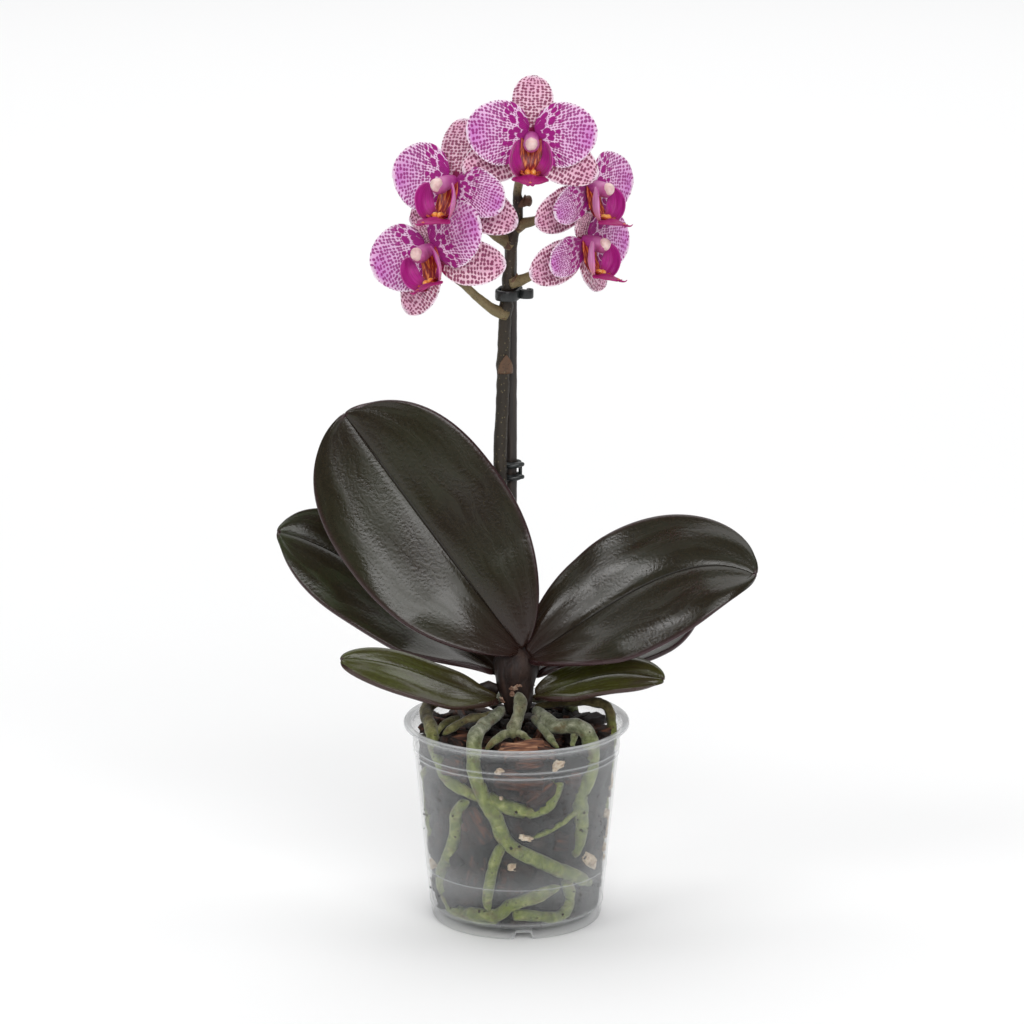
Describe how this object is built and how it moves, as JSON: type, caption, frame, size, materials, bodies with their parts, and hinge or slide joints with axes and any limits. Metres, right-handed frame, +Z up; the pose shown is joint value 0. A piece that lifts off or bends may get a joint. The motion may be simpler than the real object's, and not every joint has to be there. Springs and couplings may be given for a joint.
{
  "type": "potted orchid",
  "caption": "Miniature moth orchid in a small clear pot: broad dark leaves, grey aerial roots, and a clipped, staked spike of spotted pink blooms.",
  "frame": {"origin": "on the pot's axis, in the plane of the foot ring it stands on", "axes": "+Z up along the pot's axis, -Y towards the side the top bloom faces, +X to that viewer's right"},
  "size_m": [0.1258, 0.0604, 0.2264],
  "materials": {
    "pot_plastic": "gloss",
    "mix_bark": "matte",
    "leaf_green": "satin",
    "root_grey": "matte",
    "stem_brown": "satin",
    "spike_olive": "satin",
    "stick_dark": "satin",
    "clip_black": "satin",
    "sepal_pink": "matte",
    "petal_pink": "matte",
    "lip_magenta": "satin",
    "column_pink": "satin"
  },
  "bodies": {
    "root": {"pot": "pot_plastic", "potting_mix": "mix_bark", "stem_base": "stem_brown", "flower_spike": "spike_olive", "support_stick": "stick_dark", "clip_upper": "clip_black", "clip_lower": "clip_black", "leaf_upper_left": "leaf_green", "leaf_lower_left": "leaf_green", "leaf_small_left": "leaf_green", "leaf_upper_right": "leaf_green", "leaf_lower_right": "leaf_green", "leaf_small_right": "leaf_green", "root_front_left": "root_grey", "root_centre": "root_grey", "root_front_right": "root_grey", "root_left_arch": "root_grey", "root_left_thin": "root_grey", "root_right_arch": "root_grey", "root_low_left": "root_grey", "root_low_front": "root_grey", "root_low_inner": "root_grey", "root_back_left": "root_grey", "root_back_right": "root_grey", "root_left_wall": "root_grey", "bloom_top_dorsal_sepal": "sepal_pink", "bloom_top_left_sepal": "sepal_pink", "bloom_top_right_sepal": "sepal_pink", "bloom_top_left_petal": "petal_pink", "bloom_top_right_petal": "petal_pink", "bloom_top_lip": "lip_magenta", "bloom_top_column": "column_pink", "bloom_left_upper_dorsal_sepal": "sepal_pink", "bloom_left_upper_left_sepal": "sepal_pink", "bloom_left_upper_right_sepal": "sepal_pink", "bloom_left_upper_left_petal": "petal_pink", "bloom_left_upper_right_petal": "petal_pink", "bloom_left_upper_lip": "lip_magenta", "bloom_left_upper_column": "column_pink", "bloom_left_lower_dorsal_sepal": "sepal_pink", "bloom_left_lower_left_sepal": "sepal_pink", "bloom_left_lower_right_sepal": "sepal_pink", "bloom_left_lower_left_petal": "petal_pink", "bloom_left_lower_right_petal": "petal_pink", "bloom_left_lower_lip": "lip_magenta", "bloom_left_lower_column": "column_pink", "bloom_right_upper_dorsal_sepal": "sepal_pink", "bloom_right_upper_left_sepal": "sepal_pink", "bloom_right_upper_right_sepal": "sepal_pink", "bloom_right_upper_left_petal": "petal_pink", "bloom_right_upper_right_petal": "petal_pink", "bloom_right_upper_lip": "lip_magenta", "bloom_right_upper_column": "column_pink", "bloom_right_lower_dorsal_sepal": "sepal_pink", "bloom_right_lower_left_sepal": "sepal_pink", "bloom_right_lower_right_sepal": "sepal_pink", "bloom_right_lower_left_petal": "petal_pink", "bloom_right_lower_right_petal": "petal_pink", "bloom_right_lower_lip": "lip_magenta", "bloom_right_lower_column": "column_pink"}
  },
  "joints": []
}
